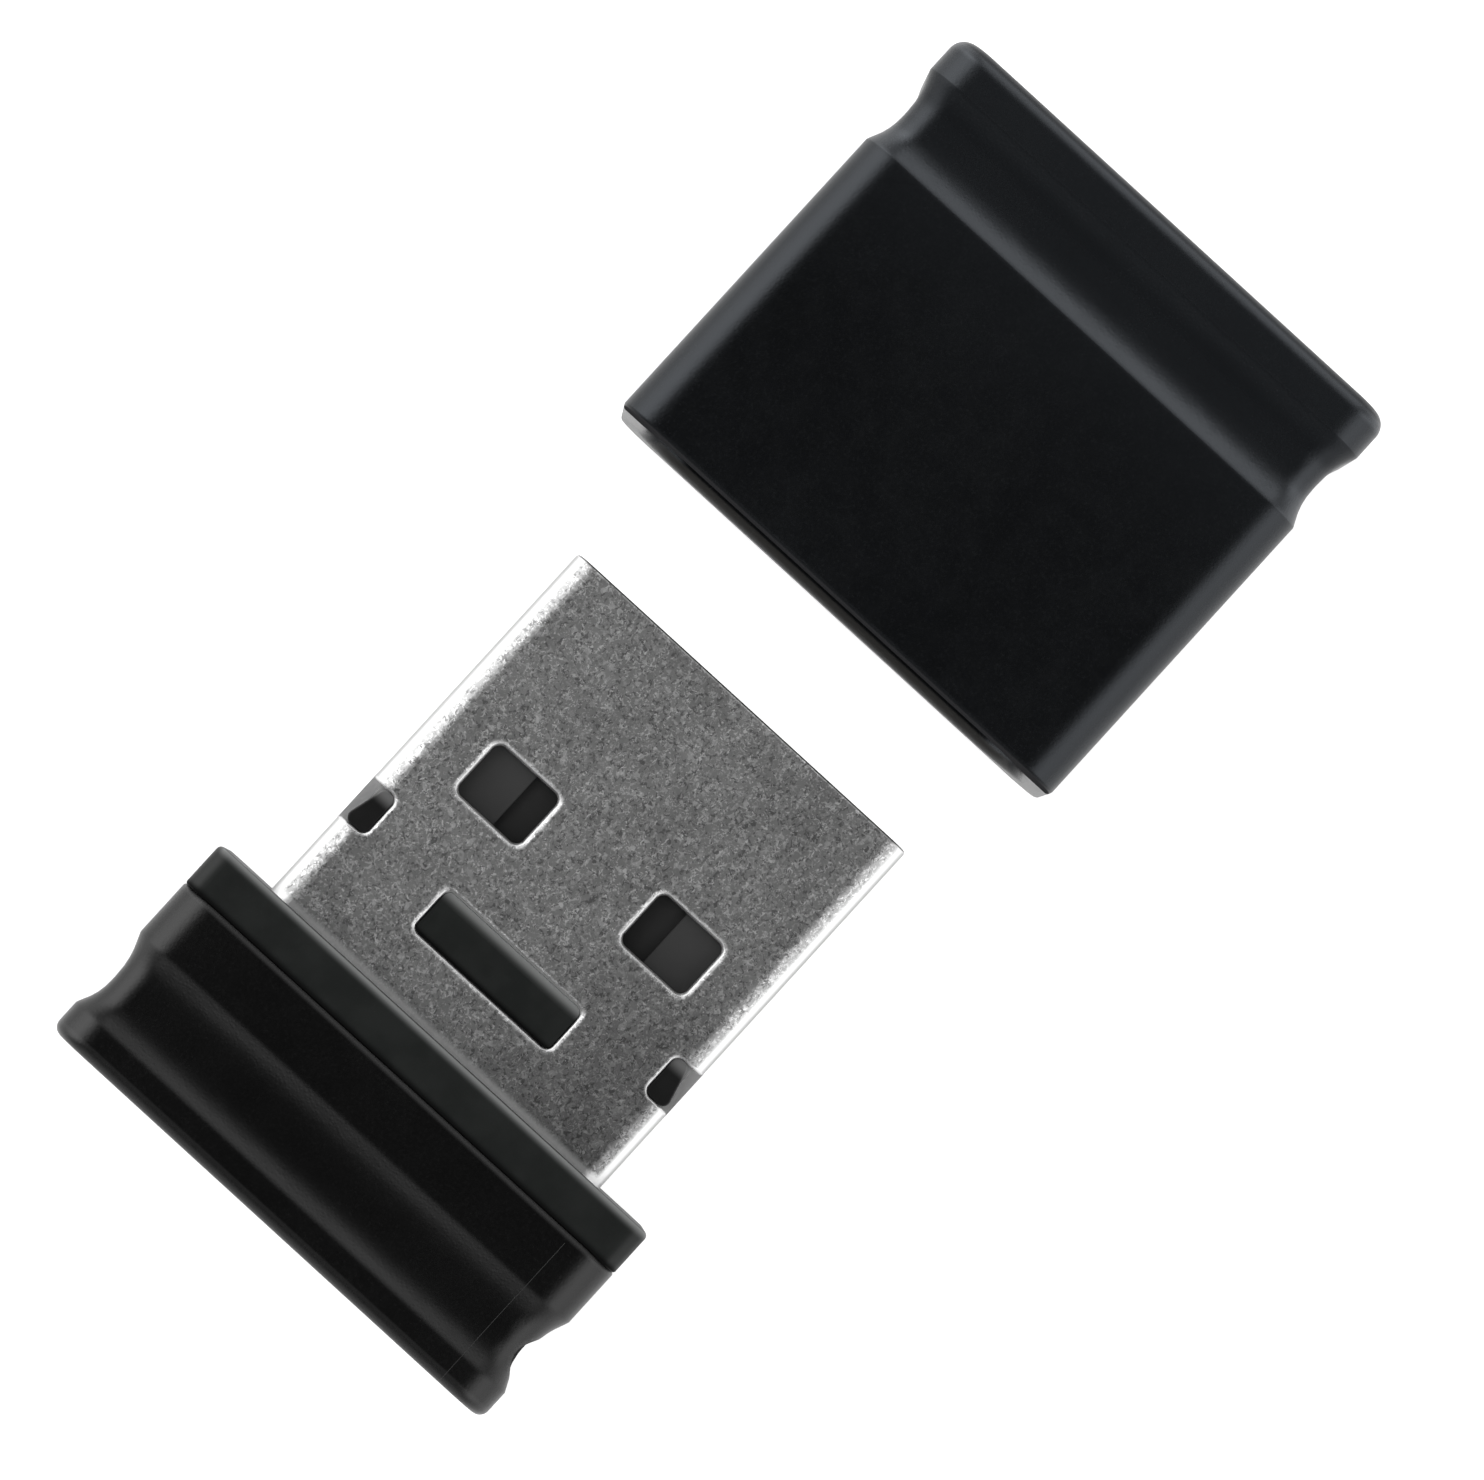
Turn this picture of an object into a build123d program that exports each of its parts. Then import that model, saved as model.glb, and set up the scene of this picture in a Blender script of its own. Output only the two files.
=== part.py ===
from build123d import *

import os

# A USB flash drive with a type A plug, a short waisted body and a pull-off cap.
# Millimetres. +X runs out through the plug's tip, +Y goes across, +Z is up through
# the face with the slot. The origin is the centre of the collar's front face.
# The cap is drawn pulled off, in line with the plug.

os.makedirs("parts", exist_ok=True)

# Plug shell: folded sheet steel, USB type A outline
SHELL_WIDTH = 12.0
SHELL_HEIGHT = 4.5
SHELL_SHEET = 0.3
SHELL_CORNER = 0.64
SHELL_REACH = 12.3
SHELL_TAIL = 3.2
SHELL_LENGTH = SHELL_REACH + SHELL_TAIL
EDGE_ROLL = 0.2
TIP_ROLL = 0.1
INNER_WIDTH = SHELL_WIDTH - 2 * SHELL_SHEET
INNER_HEIGHT = SHELL_HEIGHT - 2 * SHELL_SHEET
INNER_CORNER = SHELL_CORNER - SHELL_SHEET
SHELL_TOP = SHELL_HEIGHT / 2
FACE_TOLERANCE = 0.001

# Latch windows in the top and bottom of the shell
WINDOW_X = 6.2
WINDOW_Y = 3.0
WINDOW_LENGTH = 1.78
WINDOW_WIDTH = 2.28
WINDOW_CORNER = 0.25

# Slot across the top of the shell and the notches in its long edges
SLOT_X = 2.52
SLOT_LENGTH = 1.42
SLOT_WIDTH = 4.88
SLOT_CORNER = 0.2
NOTCH_X = 3.42
NOTCH_LENGTH = 1.36
NOTCH_INNER_Y = 5.1
NOTCH_BOTTOM = 1.62
NOTCH_CORNER = 0.25
NOTCH_ROLL = 0.12

# Butt seam with one interlocking tongue, on the underside of the shell
SEAM_WIDTH = 0.06
SEAM_TONGUE_START = 8.4
SEAM_TONGUE_END = 10.0
SEAM_TONGUE_FLARE = 0.25
SEAM_TONGUE_REACH = 1.0

# Collar and rear housing
BODY_WIDTH = 15.6
BODY_HEIGHT = 7.6
BODY_CORNER = 1.1
COLLAR_THICKNESS = 1.4
COLLAR_INSET = 0.02
COLLAR_WIDTH = BODY_WIDTH - 2 * COLLAR_INSET
COLLAR_HEIGHT = BODY_HEIGHT - 2 * COLLAR_INSET
COLLAR_CORNER = 0.5
COLLAR_FRONT_ROUND = 0.16
COLLAR_REAR_ROUND = 0.08
SPIGOT_WIDTH = 13.6
SPIGOT_HEIGHT = 6.0
SPIGOT_CORNER = 0.9
SPIGOT_LENGTH = 1.1
HOUSING_LENGTH = 5.3
HOUSING_FRONT = -COLLAR_THICKNESS
HOUSING_REAR = HOUSING_FRONT - HOUSING_LENGTH
HOUSING_REAR_ROUND = 0.3
HOUSING_FRONT_ROUND = 0.08
SOCKET_DEPTH = 2.0

# Waist grooves: distances along X of the slopes and the floor, and their depth
GROOVE_DEPTH = 0.31
GROOVE_LEAD = 0.02
SHOULDER_EASE = 0.2
FLOOR_EASE = 0.62
GROOVE_CLEAR = 0.6
HOUSING_GROOVE = (
    HOUSING_FRONT - 1.65,
    HOUSING_FRONT - 3.1,
    HOUSING_FRONT - 3.25,
    HOUSING_FRONT - 4.45,
)

# Lanyard passage: a tall slot in the -Y side of the waist that meets a round rear hole
LANYARD_X = HOUSING_FRONT - 3.3
LANYARD_Y = -5.6
LANYARD_RADIUS = 0.7
LANYARD_SLOT_TOP = 3.25
LANYARD_SLOT_BOTTOM = -2.3
LANYARD_SLOT_HEIGHT = LANYARD_SLOT_TOP - LANYARD_SLOT_BOTTOM
LANYARD_SLOT_Z = (LANYARD_SLOT_TOP + LANYARD_SLOT_BOTTOM) / 2

# Cap
CAP_MOUTH = 16.0
CAP_LENGTH = 13.62
CAP_END = CAP_MOUTH + CAP_LENGTH
CAP_END_ROUND = 0.5
CAP_LIP_ROUND = 0.14
CAP_LIP_INNER_ROUND = 0.3
CAP_GROOVE = (CAP_END - 1.15, CAP_END - 2.55, CAP_END - 2.7, CAP_END - 3.95)
CAVITY_WIDTH = 13.8
CAVITY_HEIGHT = 5.8
CAVITY_CORNER = 1.6
CAVITY_DEPTH = 12.4
RIB_WIDTH = 0.6
RIB_GAP = 0.05
RIB_START = 1.2
RIB_LEAD = 0.8
RIB_BITE = 0.2
TOP_RIB_Y = (-4.4, -1.6, 1.6, 4.4)
SIDE_RIB_Z = (-1.1, 1.1)

# Flash module: moulded chip-on-board block with its contacts facing down
MODULE_WIDTH = 10.9
MODULE_REAR = -SHELL_TAIL
MODULE_FRONT = 11.4
MODULE_LENGTH = MODULE_FRONT - MODULE_REAR
MODULE_X = (MODULE_FRONT + MODULE_REAR) / 2
SUBSTRATE_BOTTOM = 0.1
SUBSTRATE_TOP = 0.4
MODULE_TOP = 1.45
MODULE_CORNER = 0.3
ADHESIVE_THICKNESS = 0.05
ADHESIVE_MARGIN = 0.6

# Contact pads on the underside of the module
PAD_WIDTH = 1.0
PAD_THICKNESS = 0.05
PAD_CORNER = 0.15
PAD_REAR = 2.6
OUTER_PAD_LENGTH = 7.9
INNER_PAD_LENGTH = 6.9
OUTER_PAD_Y = 3.5
INNER_PAD_Y = 1.0

# Plastic carrier round the module, inside the shell
CARRIER_FRONT = 11.9
CARRIER_NOSE_BEVEL = 0.25
CHANNEL_START = 4.3
CHANNEL_END = 9.0
CHANNEL_HALF_WIDTH = 2.75
CHANNEL_FLOOR = 1.6
RAIL_HALF_WIDTH = 4.35
RAIL_FLOOR = 1.8
BLOCK_TOP = 2.2
BLOCK_FRONT_SLOPE = 0.34
BLOCK_FRONT_DROP = 0.1
BLOCK_REAR_BEVEL = 0.06
BLOCK_ROOT = MODULE_TOP + 0.2
TAB_LENGTH = 1.34
TAB_INNER_Y = 5.11
TAB_REAR_OUTER_Y = 5.9
TAB_FRONT_OUTER_Y = 5.55
TAB_TOP = 2.12
TAB_ROUND = 0.22
TAB_TOP_ROUND = 0.05
RETAINER_FRONT = 0.6
RETAINER_BEVEL = 0.3

# Bare dice and their attach films, stacked on the substrate
FILM_THICKNESS = 0.03
DIE_THICKNESS = 0.15
FLASH_LENGTH = 7.6
FLASH_WIDTH = 8.8
LOWER_FLASH_X = 6.5
FLASH_STEP = 0.6
UPPER_FLASH_X = LOWER_FLASH_X + FLASH_STEP
LOWER_DIE_TOP = SUBSTRATE_TOP + FILM_THICKNESS + DIE_THICKNESS
UPPER_DIE_TOP = LOWER_DIE_TOP + FILM_THICKNESS + DIE_THICKNESS
CONTROLLER_X = -0.6
CONTROLLER_LENGTH = 2.4
CONTROLLER_WIDTH = 2.8

# Bond wires: square-section loops from a die's top down to the substrate
WIRE_SIZE = 0.05
WIRE_RISE = 0.2
FLASH_WIRE_PITCH = 0.8
FLASH_WIRE_COUNT = 10
CONTROLLER_WIRE_PITCH = 0.35
CONTROLLER_WIRE_COUNT = 7
WIRE_LANDING = 0.55
WIRE_SETBACK = 0.2
WIRE_BEND = 0.3

# Small parts soldered to the substrate
SOLDER_HEIGHT = 0.03
SOLDER_LENGTH = 0.45
SOLDER_WIDTH = 0.6
CHIP_LENGTH = 1.0
CHIP_WIDTH = 0.5
CAPACITOR_HEIGHT = 0.5
RESISTOR_HEIGHT = 0.35
CAPACITOR_SPOTS = ((-2.3, -4.6), (-2.3, -3.7), (-2.3, -2.8), (0.2, -4.6))
RESISTOR_SPOTS = ((0.2, -3.7), (0.2, -2.8), (0.9, 4.7))
CRYSTAL_X = -1.6
CRYSTAL_Y = 3.9
CRYSTAL_LENGTH = 2.0
CRYSTAL_WIDTH = 1.6
CRYSTAL_HEIGHT = 0.5
CRYSTAL_CORNER = 0.1
CRYSTAL_PAD_PITCH_X = 1.5
CRYSTAL_PAD_PITCH_Y = 1.1


def groove_ring(stations):
    """Return the band of material that a waist groove takes off the outside."""
    start, floor_start, floor_end, end = stations
    first_slope = floor_start - start
    last_slope = end - floor_end
    side = BODY_WIDTH / 2
    surface = BODY_HEIGHT / 2
    lead = surface + GROOVE_LEAD
    floor = surface - GROOVE_DEPTH
    outside = surface + GROOVE_CLEAR
    with BuildLine(Plane.YZ.offset(start)) as path:
        FilletPolyline(
            (0, surface),
            (side, surface),
            (side, -surface),
            (-side, -surface),
            (-side, surface),
            (0, surface),
            radius=(0, BODY_CORNER, BODY_CORNER, BODY_CORNER, BODY_CORNER),
        )
    with BuildPart() as ring:
        with BuildSketch(Plane.XZ):
            with BuildLine():
                Bezier(
                    (start, lead),
                    (start + SHOULDER_EASE * first_slope, lead),
                    (floor_start - FLOOR_EASE * first_slope, floor),
                    (floor_start, floor),
                )
                Line((floor_start, floor), (floor_end, floor))
                Bezier(
                    (floor_end, floor),
                    (floor_end + FLOOR_EASE * last_slope, floor),
                    (end - SHOULDER_EASE * last_slope, lead),
                    (end, lead),
                )
                Polyline((end, lead), (end, outside), (start, outside), (start, lead))
            make_face()
        sweep(path=path.wire())
    return ring.part


def wire_outline(die_x, land_x, die_top):
    """Return the side view of a looped wire from a die's top face to the substrate."""
    peak = die_top + WIRE_RISE
    bend_x = die_x + WIRE_BEND * (land_x - die_x)
    half = WIRE_SIZE / 2 if land_x > die_x else -WIRE_SIZE / 2
    return (
        (die_x - half, die_top),
        (die_x - half, peak),
        (bend_x, peak),
        (land_x + half, SUBSTRATE_TOP),
        (land_x - 2 * half, SUBSTRATE_TOP),
        (bend_x - half, peak - WIRE_SIZE),
        (die_x + half, peak - WIRE_SIZE),
        (die_x + half, die_top),
    )


def rib_outline(root, tip):
    """Return the side view of a cap rib that rises from root to tip along X."""
    front = CAP_MOUTH + RIB_START
    back = CAP_MOUTH + CAVITY_DEPTH + RIB_BITE
    return (front, root), (front + RIB_LEAD, tip), (back, tip), (back, root)


def centred(count, pitch):
    """Return evenly spaced positions about zero."""
    return [(i - (count - 1) / 2) * pitch for i in range(count)]


# Plug shell

with BuildPart() as plug_shell:
    with BuildSketch(Plane.YZ.offset(-SHELL_TAIL)):
        RectangleRounded(SHELL_WIDTH, SHELL_HEIGHT, SHELL_CORNER)
        RectangleRounded(INNER_WIDTH, INNER_HEIGHT, INNER_CORNER, mode=Mode.SUBTRACT)
    extrude(amount=SHELL_LENGTH)
    tip_face = plug_shell.faces().sort_by(Axis.X)[-1]
    fillet(tip_face.outer_wire().edges(), TIP_ROLL)
    with BuildSketch(Plane.XY.offset(-SHELL_HEIGHT)):
        with Locations((WINDOW_X, WINDOW_Y), (WINDOW_X, -WINDOW_Y)):
            RectangleRounded(WINDOW_LENGTH, WINDOW_WIDTH, WINDOW_CORNER)
    extrude(amount=2 * SHELL_HEIGHT, mode=Mode.SUBTRACT)
    with BuildSketch(Plane.XY):
        with Locations((SLOT_X, 0)):
            RectangleRounded(SLOT_LENGTH, SLOT_WIDTH, SLOT_CORNER)
    extrude(amount=SHELL_HEIGHT, mode=Mode.SUBTRACT)
    # The stamped openings have rolled outer rims.
    opening_rims = [
        edge
        for edge in plug_shell.edges()
        if abs(abs(edge.center().Z) - SHELL_TOP) < FACE_TOLERANCE
        and abs(edge.center().Y) < WINDOW_Y + WINDOW_WIDTH
        and 0 < edge.center().X < WINDOW_X + WINDOW_LENGTH
        and edge.length <= SLOT_WIDTH
    ]
    fillet(opening_rims, EDGE_ROLL)
    with BuildSketch(Plane.XY.offset(NOTCH_BOTTOM)):
        notch_width = SHELL_WIDTH - 2 * NOTCH_INNER_Y
        with Locations((NOTCH_X, SHELL_WIDTH / 2), (NOTCH_X, -SHELL_WIDTH / 2)):
            RectangleRounded(NOTCH_LENGTH, notch_width, NOTCH_CORNER)
    extrude(amount=SHELL_HEIGHT, mode=Mode.SUBTRACT)
    notch_rims = [
        edge
        for edge in plug_shell.edges()
        if abs(edge.center().X - NOTCH_X) < NOTCH_LENGTH / 2 + FACE_TOLERANCE
        and abs(edge.center().Y) > NOTCH_INNER_Y - FACE_TOLERANCE
        and edge.center().Z > INNER_HEIGHT / 2 + FACE_TOLERANCE
        and abs(edge.tangent_at(0.5).Z) < 0.9
    ]
    fillet(notch_rims, NOTCH_ROLL)
    with BuildSketch(Plane.XY.offset(-SHELL_HEIGHT)):
        with BuildLine():
            Polyline(
                (-SHELL_TAIL - 1, 0),
                (SEAM_TONGUE_START, 0),
                (SEAM_TONGUE_START - SEAM_TONGUE_FLARE, SEAM_TONGUE_REACH),
                (SEAM_TONGUE_END + SEAM_TONGUE_FLARE, SEAM_TONGUE_REACH),
                (SEAM_TONGUE_END, 0),
                (SHELL_REACH + 1, 0),
            )
        trace(line_width=SEAM_WIDTH)
    extrude(amount=SHELL_HEIGHT, mode=Mode.SUBTRACT)
plug_shell.part.label = "plug_shell"

# Module substrate and its contact pads

with BuildPart() as module_substrate:
    with BuildSketch(Plane.XY.offset(SUBSTRATE_BOTTOM)):
        with Locations((MODULE_X, 0)):
            RectangleRounded(MODULE_LENGTH, MODULE_WIDTH, MODULE_CORNER)
    extrude(amount=SUBSTRATE_TOP - SUBSTRATE_BOTTOM)
module_substrate.part.label = "module_substrate"

with BuildPart() as vbus_contact:
    with BuildSketch(Plane.XY.offset(SUBSTRATE_BOTTOM)):
        with Locations((PAD_REAR + OUTER_PAD_LENGTH / 2, -OUTER_PAD_Y)):
            RectangleRounded(OUTER_PAD_LENGTH, PAD_WIDTH, PAD_CORNER)
    extrude(amount=-PAD_THICKNESS)
vbus_contact.part.label = "vbus_contact"

with BuildPart() as data_minus_contact:
    with BuildSketch(Plane.XY.offset(SUBSTRATE_BOTTOM)):
        with Locations((PAD_REAR + INNER_PAD_LENGTH / 2, -INNER_PAD_Y)):
            RectangleRounded(INNER_PAD_LENGTH, PAD_WIDTH, PAD_CORNER)
    extrude(amount=-PAD_THICKNESS)
data_minus_contact.part.label = "data_minus_contact"

with BuildPart() as data_plus_contact:
    with BuildSketch(Plane.XY.offset(SUBSTRATE_BOTTOM)):
        with Locations((PAD_REAR + INNER_PAD_LENGTH / 2, INNER_PAD_Y)):
            RectangleRounded(INNER_PAD_LENGTH, PAD_WIDTH, PAD_CORNER)
    extrude(amount=-PAD_THICKNESS)
data_plus_contact.part.label = "data_plus_contact"

with BuildPart() as ground_contact:
    with BuildSketch(Plane.XY.offset(SUBSTRATE_BOTTOM)):
        with Locations((PAD_REAR + OUTER_PAD_LENGTH / 2, OUTER_PAD_Y)):
            RectangleRounded(OUTER_PAD_LENGTH, PAD_WIDTH, PAD_CORNER)
    extrude(amount=-PAD_THICKNESS)
ground_contact.part.label = "ground_contact"

# Dice and attach films: two memory dice stepped like stairs, and the controller

with BuildPart() as lower_die_film:
    with BuildSketch(Plane.XY.offset(SUBSTRATE_TOP)):
        with Locations((LOWER_FLASH_X, 0)):
            Rectangle(FLASH_LENGTH, FLASH_WIDTH)
    extrude(amount=FILM_THICKNESS)
lower_die_film.part.label = "lower_die_film"

with BuildPart() as lower_flash_die:
    with BuildSketch(Plane.XY.offset(SUBSTRATE_TOP + FILM_THICKNESS)):
        with Locations((LOWER_FLASH_X, 0)):
            Rectangle(FLASH_LENGTH, FLASH_WIDTH)
    extrude(amount=DIE_THICKNESS)
lower_flash_die.part.label = "lower_flash_die"

with BuildPart() as upper_die_film:
    with BuildSketch(Plane.XY.offset(LOWER_DIE_TOP)):
        with Locations((UPPER_FLASH_X, 0)):
            Rectangle(FLASH_LENGTH, FLASH_WIDTH)
    extrude(amount=FILM_THICKNESS)
upper_die_film.part.label = "upper_die_film"

with BuildPart() as upper_flash_die:
    with BuildSketch(Plane.XY.offset(LOWER_DIE_TOP + FILM_THICKNESS)):
        with Locations((UPPER_FLASH_X, 0)):
            Rectangle(FLASH_LENGTH, FLASH_WIDTH)
    extrude(amount=DIE_THICKNESS)
upper_flash_die.part.label = "upper_flash_die"

with BuildPart() as controller_die_film:
    with BuildSketch(Plane.XY.offset(SUBSTRATE_TOP)):
        with Locations((CONTROLLER_X, 0)):
            Rectangle(CONTROLLER_LENGTH, CONTROLLER_WIDTH)
    extrude(amount=FILM_THICKNESS)
controller_die_film.part.label = "controller_die_film"

with BuildPart() as controller_die:
    with BuildSketch(Plane.XY.offset(SUBSTRATE_TOP + FILM_THICKNESS)):
        with Locations((CONTROLLER_X, 0)):
            Rectangle(CONTROLLER_LENGTH, CONTROLLER_WIDTH)
    extrude(amount=DIE_THICKNESS)
controller_die.part.label = "controller_die"

# Bond wires

with BuildPart() as flash_bond_wires:
    lower_pad_x = LOWER_FLASH_X - FLASH_LENGTH / 2 + WIRE_SETBACK
    upper_pad_x = UPPER_FLASH_X - FLASH_LENGTH / 2 + WIRE_SETBACK
    flash_landing = LOWER_FLASH_X - FLASH_LENGTH / 2 - WIRE_LANDING
    for wire_y in centred(FLASH_WIRE_COUNT, FLASH_WIRE_PITCH):
        with BuildSketch(Plane.XZ.offset(-wire_y)):
            Polygon(*wire_outline(lower_pad_x, flash_landing, LOWER_DIE_TOP), align=None)
        extrude(amount=WIRE_SIZE / 2, both=True)
        with BuildSketch(Plane.XZ.offset(-wire_y - FLASH_WIRE_PITCH / 2)):
            Polygon(*wire_outline(upper_pad_x, flash_landing, UPPER_DIE_TOP), align=None)
        extrude(amount=WIRE_SIZE / 2, both=True)
flash_bond_wires.part.label = "flash_bond_wires"

with BuildPart() as controller_bond_wires:
    front_edge = CONTROLLER_X + CONTROLLER_LENGTH / 2
    rear_edge = CONTROLLER_X - CONTROLLER_LENGTH / 2
    for wire_y in centred(CONTROLLER_WIRE_COUNT, CONTROLLER_WIRE_PITCH):
        with BuildSketch(Plane.XZ.offset(-wire_y)):
            Polygon(
                *wire_outline(front_edge - WIRE_SETBACK, front_edge + WIRE_LANDING, LOWER_DIE_TOP),
                align=None,
            )
            Polygon(
                *wire_outline(rear_edge + WIRE_SETBACK, rear_edge - WIRE_LANDING, LOWER_DIE_TOP),
                align=None,
            )
        extrude(amount=WIRE_SIZE / 2, both=True)
controller_bond_wires.part.label = "controller_bond_wires"

# Small soldered parts

with BuildPart() as ceramic_capacitors:
    with BuildSketch(Plane.XY.offset(SUBSTRATE_TOP + SOLDER_HEIGHT)):
        with Locations(*CAPACITOR_SPOTS):
            Rectangle(CHIP_LENGTH, CHIP_WIDTH)
    extrude(amount=CAPACITOR_HEIGHT)
ceramic_capacitors.part.label = "ceramic_capacitors"

with BuildPart() as chip_resistors:
    with BuildSketch(Plane.XY.offset(SUBSTRATE_TOP + SOLDER_HEIGHT)):
        with Locations(*RESISTOR_SPOTS):
            Rectangle(CHIP_LENGTH, CHIP_WIDTH)
    extrude(amount=RESISTOR_HEIGHT)
chip_resistors.part.label = "chip_resistors"

with BuildPart() as clock_crystal:
    with BuildSketch(Plane.XY.offset(SUBSTRATE_TOP + SOLDER_HEIGHT)):
        with Locations((CRYSTAL_X, CRYSTAL_Y)):
            RectangleRounded(CRYSTAL_LENGTH, CRYSTAL_WIDTH, CRYSTAL_CORNER)
    extrude(amount=CRYSTAL_HEIGHT)
clock_crystal.part.label = "clock_crystal"

with BuildPart() as solder_joints:
    with BuildSketch(Plane.XY.offset(SUBSTRATE_TOP)):
        with Locations(*CAPACITOR_SPOTS, *RESISTOR_SPOTS):
            with GridLocations(CHIP_LENGTH, 0, 2, 1):
                Rectangle(SOLDER_LENGTH, SOLDER_WIDTH)
        with Locations((CRYSTAL_X, CRYSTAL_Y)):
            with GridLocations(CRYSTAL_PAD_PITCH_X, CRYSTAL_PAD_PITCH_Y, 2, 2):
                Rectangle(SOLDER_WIDTH, SOLDER_WIDTH)
    extrude(amount=SOLDER_HEIGHT)
solder_joints.part.label = "solder_joints"

# Moulded block over the substrate, with a cavity for everything it buries

buried_pieces = (
    lower_die_film,
    lower_flash_die,
    upper_die_film,
    upper_flash_die,
    controller_die_film,
    controller_die,
    flash_bond_wires,
    controller_bond_wires,
    ceramic_capacitors,
    chip_resistors,
    clock_crystal,
    solder_joints,
)

with BuildPart() as module_encapsulant:
    with BuildSketch(Plane.XY.offset(SUBSTRATE_TOP)):
        with Locations((MODULE_X, 0)):
            RectangleRounded(MODULE_LENGTH, MODULE_WIDTH, MODULE_CORNER)
    extrude(amount=MODULE_TOP - SUBSTRATE_TOP)
    for buried in buried_pieces:
        add(buried.part, mode=Mode.SUBTRACT)
module_encapsulant.part.label = "module_encapsulant"

with BuildPart() as module_adhesive:
    with BuildSketch(Plane.XY.offset(MODULE_TOP)):
        with Locations((MODULE_X, 0)):
            RectangleRounded(
                MODULE_LENGTH - 2 * ADHESIVE_MARGIN, MODULE_WIDTH - 2 * ADHESIVE_MARGIN, MODULE_CORNER
            )
    extrude(amount=ADHESIVE_THICKNESS)
module_adhesive.part.label = "module_adhesive"

# Carrier round the module, and the block that closes the shell under its rear end

with BuildPart() as plug_carrier:
    with BuildSketch(Plane.YZ.offset(MODULE_REAR)):
        RectangleRounded(INNER_WIDTH, INNER_HEIGHT, INNER_CORNER)
        with Locations((0, SUBSTRATE_BOTTOM - INNER_HEIGHT / 2)):
            Rectangle(SHELL_WIDTH, INNER_HEIGHT, mode=Mode.SUBTRACT)
    extrude(amount=CARRIER_FRONT - MODULE_REAR)
    nose_edge = plug_carrier.faces().sort_by(Axis.X)[-1].edges().sort_by(Axis.Z)[0]
    chamfer(nose_edge, CARRIER_NOSE_BEVEL)
    # Seat for the module
    with BuildSketch(Plane.XY.offset(SUBSTRATE_BOTTOM)):
        with Locations((MODULE_X, 0)):
            RectangleRounded(MODULE_LENGTH, MODULE_WIDTH, MODULE_CORNER)
    extrude(amount=MODULE_TOP + ADHESIVE_THICKNESS - SUBSTRATE_BOTTOM, mode=Mode.SUBTRACT)
    # Stepped recess under the latch windows
    channel_length = CHANNEL_END - CHANNEL_START
    channel_middle = CHANNEL_START + channel_length / 2
    with BuildSketch(Plane.XY.offset(RAIL_FLOOR)):
        with Locations((channel_middle, 0)):
            Rectangle(channel_length, 2 * RAIL_HALF_WIDTH)
    extrude(amount=SHELL_HEIGHT, mode=Mode.SUBTRACT)
    with BuildSketch(Plane.XY.offset(CHANNEL_FLOOR)):
        with Locations((channel_middle, 0)):
            Rectangle(channel_length, 2 * CHANNEL_HALF_WIDTH)
    extrude(amount=SHELL_HEIGHT, mode=Mode.SUBTRACT)
    # Raised block that fills the slot
    block_rear = SLOT_X - SLOT_LENGTH / 2
    block_front = SLOT_X + SLOT_LENGTH / 2
    with BuildSketch(Plane.XY.offset(BLOCK_ROOT)):
        with Locations((SLOT_X, 0)):
            RectangleRounded(SLOT_LENGTH, SLOT_WIDTH, SLOT_CORNER)
    extrude(amount=BLOCK_TOP - BLOCK_ROOT)
    with BuildSketch(Plane.XZ):
        Polygon(
            (block_front - BLOCK_FRONT_SLOPE, BLOCK_TOP),
            (block_front, BLOCK_TOP - BLOCK_FRONT_DROP),
            (block_front, BLOCK_TOP),
            align=None,
        )
        Polygon(
            (block_rear + BLOCK_REAR_BEVEL, BLOCK_TOP),
            (block_rear, BLOCK_TOP),
            (block_rear, BLOCK_TOP - BLOCK_REAR_BEVEL),
            align=None,
        )
    extrude(amount=SLOT_WIDTH, both=True, mode=Mode.SUBTRACT)
    # Snap tabs that hook over the walls in the notches
    tab_rear = NOTCH_X - TAB_LENGTH / 2
    tab_front = NOTCH_X + TAB_LENGTH / 2
    with BuildSketch(Plane.XY.offset(NOTCH_BOTTOM)):
        with BuildLine():
            FilletPolyline(
                (tab_rear, TAB_INNER_Y),
                (tab_front, TAB_INNER_Y),
                (tab_front, TAB_FRONT_OUTER_Y),
                (tab_rear, TAB_REAR_OUTER_Y),
                radius=TAB_ROUND,
                close=True,
            )
        make_face()
        mirror(about=Plane.XZ)
    extrude(amount=TAB_TOP - NOTCH_BOTTOM)
    tab_rims = [
        edge
        for edge in plug_carrier.edges()
        if abs(edge.center().Z - TAB_TOP) < FACE_TOLERANCE
    ]
    fillet(tab_rims, TAB_TOP_ROUND)
plug_carrier.part.label = "plug_carrier"

with BuildPart() as module_retainer:
    with BuildSketch(Plane.YZ.offset(MODULE_REAR)):
        RectangleRounded(INNER_WIDTH, INNER_HEIGHT, INNER_CORNER)
        with Locations((0, SUBSTRATE_BOTTOM + INNER_HEIGHT / 2)):
            Rectangle(SHELL_WIDTH, INNER_HEIGHT, mode=Mode.SUBTRACT)
    extrude(amount=RETAINER_FRONT - MODULE_REAR)
    lead_edge = module_retainer.faces().sort_by(Axis.X)[-1].edges().sort_by(Axis.Z)[-1]
    chamfer(lead_edge, RETAINER_BEVEL)
module_retainer.part.label = "module_retainer"

# Collar: a plate round the shell with a spigot that locates in the housing

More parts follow.
